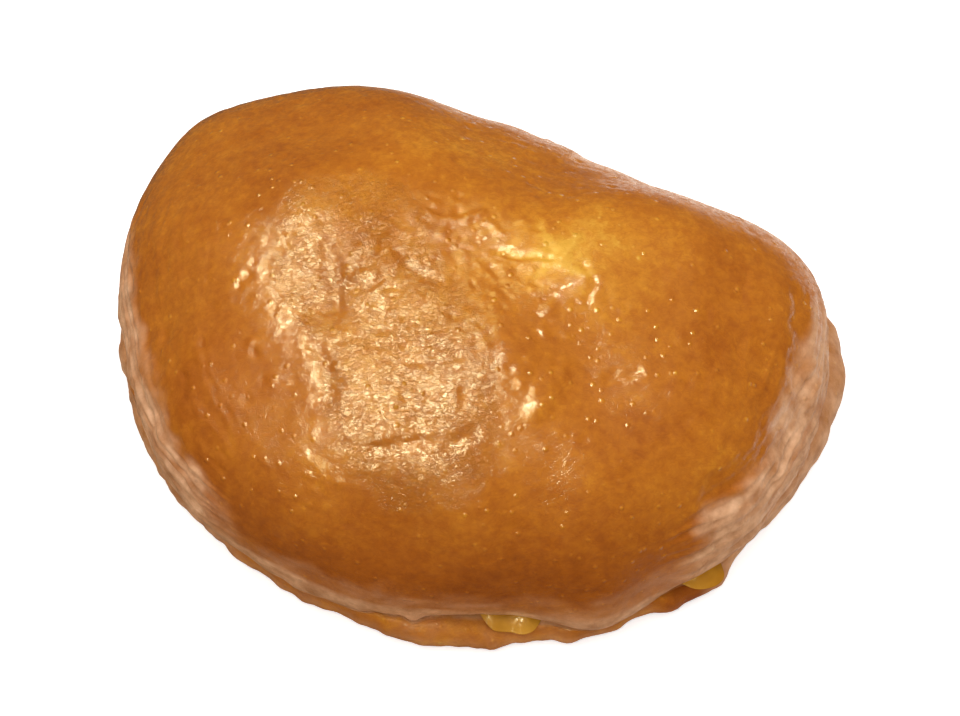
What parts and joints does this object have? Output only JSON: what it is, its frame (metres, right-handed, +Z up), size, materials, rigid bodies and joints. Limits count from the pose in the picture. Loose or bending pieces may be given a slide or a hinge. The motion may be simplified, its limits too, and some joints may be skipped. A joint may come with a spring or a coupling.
{
  "type": "custard cream bun",
  "caption": "Baked half-moon bun of sweet dough folded over a custard filling, with a tall glazed dome, a flat bottom and a seam round its curved side.",
  "frame": {"origin": "middle of the flat bottom, under the centre of the bun's bounding box", "axes": "+X along the bun from its broad end to its narrow end, +Y towards the folded side, away from the seam, +Z up"},
  "size_m": [0.1224, 0.087, 0.045],
  "materials": {
    "crust": "egg-washed golden brown crust, paler and drier at the seam and under the bun",
    "custard": "smooth, moist yellow custard"
  },
  "bodies": {
    "root": {"dough": "crust", "custard": "custard"}
  },
  "joints": []
}
